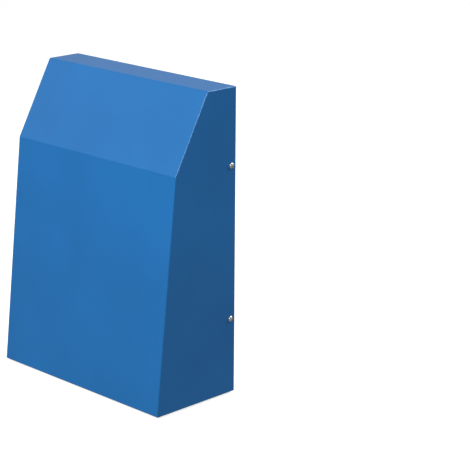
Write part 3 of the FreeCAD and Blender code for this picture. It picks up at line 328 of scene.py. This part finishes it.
def grey_sheath():
    """Extruded cable sheath with a faint lengthwise grain."""
    mix = Recipe("grey_sheath")
    colour = mix.mixed(mix.noise(90.0, 3.0), shade(GREY_SHEATH, 0.8), shade(GREY_SHEATH, 1.3))
    relief = mix.bump(mix.noise(900.0, 2.0), 0.02 * MM)
    return mix.finish(colour, mix.ranged(mix.noise(300.0), 0.38, 0.52), relief)


def green_yellow_sheath():
    """Two-colour earth wire insulation."""
    mix = Recipe("green_yellow_sheath")
    stripe = mix.ranged(mix.bands(300.0, "DIAGONAL"), 0.0, 1.0, 0.45, 0.55)
    colour = mix.mixed(stripe, EARTH_GREEN, EARTH_YELLOW)
    relief = mix.bump(mix.noise(900.0, 2.0), 0.01 * MM)
    return mix.finish(colour, mix.ranged(mix.noise(300.0), 0.32, 0.45), relief)


def all_materials():
    """Every material by the record's slot name."""
    return {
        "blue_paint": blue_paint(),
        "zinc_plate": zinc_plate(),
        "galvanised_steel": galvanised_steel(),
        "black_rubber": black_rubber(),
        "cast_aluminium": cast_aluminium(),
        "black_steel": black_steel(),
        "lamination_steel": lamination_steel(),
        "copper_wire": copper_wire(),
        "bearing_steel": bearing_steel(),
        "grey_plastic": moulded_plastic("grey_plastic", GREY_PLASTIC),
        "white_plastic": moulded_plastic("white_plastic", WHITE_PLASTIC, 0.008 * MM),
        "beige_plastic": moulded_plastic("beige_plastic", BEIGE_PLASTIC, 0.01 * MM),
        "brass": brass(),
        "grey_sheath": grey_sheath(),
        "green_yellow_sheath": green_yellow_sheath(),
    }


materials = all_materials()
for part in frame["record"]["subparts"]:
    for material_slot in nodes[part["node"]].material_slots:
        material_slot.material = materials[part["material_slot"]]


# ------------------------------------------------------------------- studio

def pale_floor():
    """Plain white floor under the fan. It takes the shadow and throws no light back."""
    mesh = bpy.data.meshes.new("floor")
    half = FLOOR_SIZE / 2
    corners = [(-half, -half, 0), (half, -half, 0), (half, half, 0), (-half, half, 0)]
    mesh.from_pydata(corners, [], [(0, 1, 2, 3)])
    floor = bpy.data.objects.new("floor", mesh)
    floor.location.z = cad_low.z
    floor.visible_diffuse = False
    floor.visible_glossy = False
    bpy.context.scene.collection.objects.link(floor)
    mix = Recipe("floor_white")
    tone = mix.mixed(mix.noise(2.0), shade((FLOOR_WHITE,) * 3, 0.99), (FLOOR_WHITE,) * 3)
    mix.value("Emission Color", (1.0, 1.0, 1.0, 1.0))
    mix.value("Emission Strength", FLOOR_GLOW)
    mesh.materials.append(mix.finish(tone, mix.ranged(mix.noise(3.0), 0.8, 0.9)))


def light_box(name, direction, distance, width, height, power):
    """Rectangular soft light facing the fan."""
    data = bpy.data.lights.new(name, "AREA")
    data.shape = "RECTANGLE"
    data.size = width
    data.size_y = height
    data.energy = power
    lamp = bpy.data.objects.new(name, data)
    away = Vector(direction).normalized()
    lamp.location = away * distance
    lamp.rotation_euler = away.to_track_quat("Z", "Y").to_euler()
    bpy.context.scene.collection.objects.link(lamp)


def studio_light():
    """Even room light, a soft key from the front, one from behind and above, and two glint boxes."""
    for settings in LIGHT_BOXES:
        light_box(*settings)
    world = bpy.data.worlds.new("studio")
    world.use_nodes = True
    background = world.node_tree.nodes["Background"]
    background.inputs["Color"].default_value = (1.0, 1.0, 1.0, 1.0)
    background.inputs["Strength"].default_value = ROOM_LIGHT
    bpy.context.scene.world = world


def main_camera():
    """The camera at the viewing angle, and true colours."""
    data = bpy.data.cameras.new("camera")
    data.lens = CAMERA_LENS
    data.sensor_width = SENSOR_WIDTH
    data.clip_end = CLIP_END
    camera = bpy.data.objects.new("camera", data)
    azimuth = math.radians(CAMERA_AZIMUTH)
    elevation = math.radians(CAMERA_ELEVATION)
    back = Vector((
        math.sin(azimuth) * math.cos(elevation),
        -math.cos(azimuth) * math.cos(elevation),
        math.sin(elevation),
    ))
    aim = Vector((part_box("side_panel_right")[1].x, 0.0, AIM_HEIGHT))
    turn = (-back).to_track_quat("-Z", "Y").to_matrix().to_4x4()
    roll = Matrix.Rotation(math.radians(CAMERA_ROLL), 4, "Z")
    camera.matrix_world = Matrix.Translation(aim + back * CAMERA_DISTANCE) @ turn @ roll
    bpy.context.scene.collection.objects.link(camera)
    bpy.context.scene.camera = camera
    bpy.context.scene.view_settings.view_transform = "Standard"


pale_floor()
studio_light()
main_camera()
